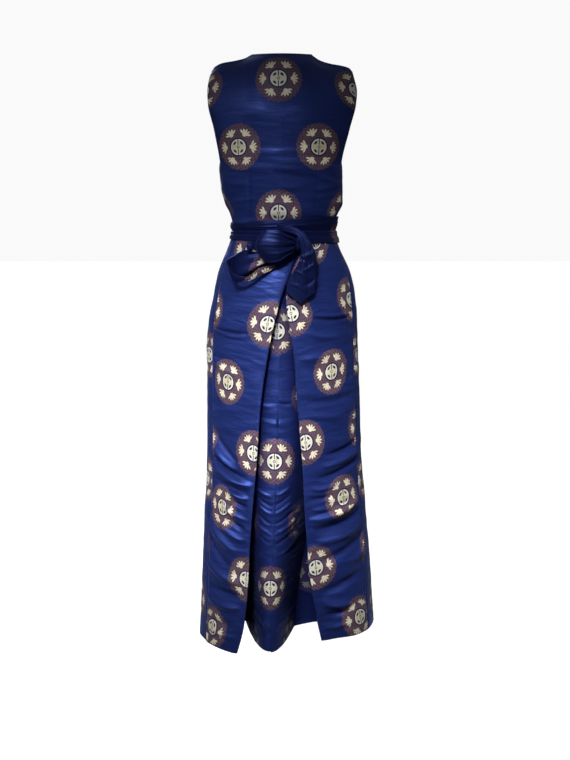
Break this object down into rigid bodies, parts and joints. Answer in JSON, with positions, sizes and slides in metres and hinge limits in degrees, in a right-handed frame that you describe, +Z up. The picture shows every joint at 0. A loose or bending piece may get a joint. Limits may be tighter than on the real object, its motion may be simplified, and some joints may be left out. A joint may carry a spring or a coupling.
{
  "type": "chuba",
  "caption": "Sleeveless wrap robe in its worn shape, full length, with a V neckline, a deep inverted pleat down the back of the skirt and a sash tied at the back waist.",
  "frame": {"origin": "midway between the two points where the shoulder seams meet the neck, at the height of those points", "axes": "+Z up; the wearer faces -Y, so the back with its pleat and bow faces +Y; +X is the wearer's left"},
  "size_m": [0.4374, 0.303, 1.4099],
  "materials": {
    "brocade": "blue satin brocade with woven roundels",
    "sash": "dark blue satin brocade"
  },
  "bodies": {
    "root": {"bodice_back": "brocade", "bodice_front_outer": "brocade", "bodice_front_inner": "brocade", "skirt_back_left": "brocade", "skirt_back_right": "brocade", "skirt_front_outer": "brocade", "skirt_front_inner": "brocade", "sash_band": "sash", "sash_loop_upper": "sash", "sash_loop_lower": "sash", "sash_loop_small": "sash", "sash_tail": "sash", "sash_knot": "sash"}
  },
  "joints": []
}
